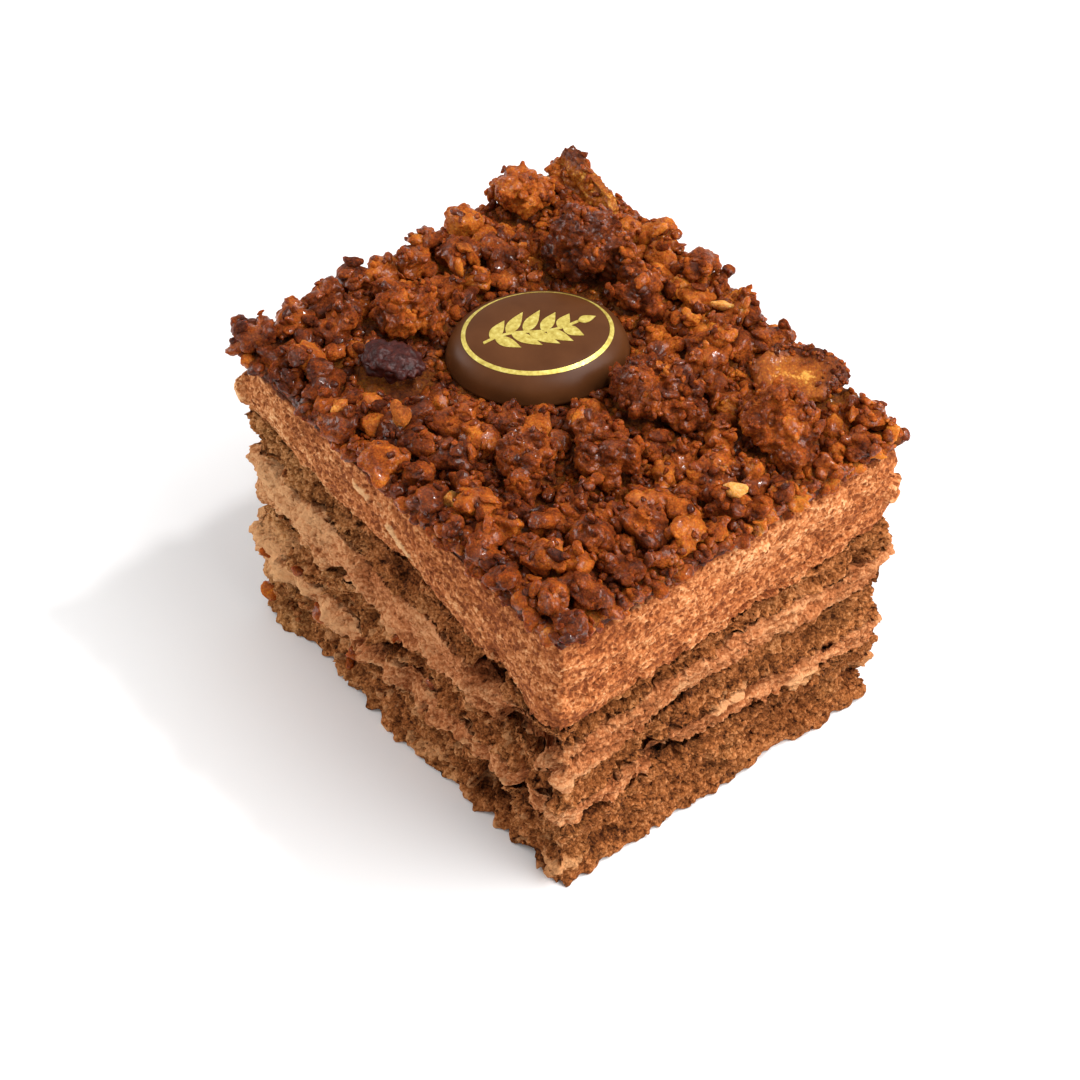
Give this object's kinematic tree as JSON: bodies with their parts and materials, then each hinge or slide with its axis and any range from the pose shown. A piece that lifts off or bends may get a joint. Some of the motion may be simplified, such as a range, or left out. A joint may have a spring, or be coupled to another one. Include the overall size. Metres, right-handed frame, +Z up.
{
  "type": "chocolate layer cake",
  "caption": "Individual square-cut chocolate layer cake with sponge, cream and mousse layers, a caramelised crumble top and an oval chocolate medallion.",
  "frame": {"origin": "middle of the cake's foot, at the height of what it stands on", "axes": "+X along the longer side, +Y along the shorter side, +Z up"},
  "size_m": [0.065, 0.0562, 0.058],
  "materials": {
    "sponge": "matte open crumb of a dark cocoa sponge",
    "cream": "soft matte cocoa cream",
    "mousse": "light reddish-brown aerated mousse, matte",
    "crumble": "caramelised red-brown crumbs, half glossy",
    "dried_fruit": "dark wrinkled skin with a slight shine",
    "nut": "toasted nut slice glazed with caramel",
    "chocolate": "smooth tempered chocolate, satin"
  },
  "bodies": {
    "root": {"sponge_bottom": "sponge", "cream_lower": "cream", "sponge_middle": "sponge", "cream_middle": "cream", "sponge_top": "sponge", "mousse_top": "mousse", "crumble": "crumble", "cluster_tall": "crumble", "cluster_beside": "crumble", "cluster_right": "crumble", "cluster_edge": "crumble", "cluster_front": "crumble", "cluster_middle": "crumble", "cluster_left": "crumble", "cluster_corner": "crumble", "cluster_back": "crumble", "raisin": "dried_fruit", "nut_slice": "nut", "medallion": "chocolate"}
  },
  "joints": []
}
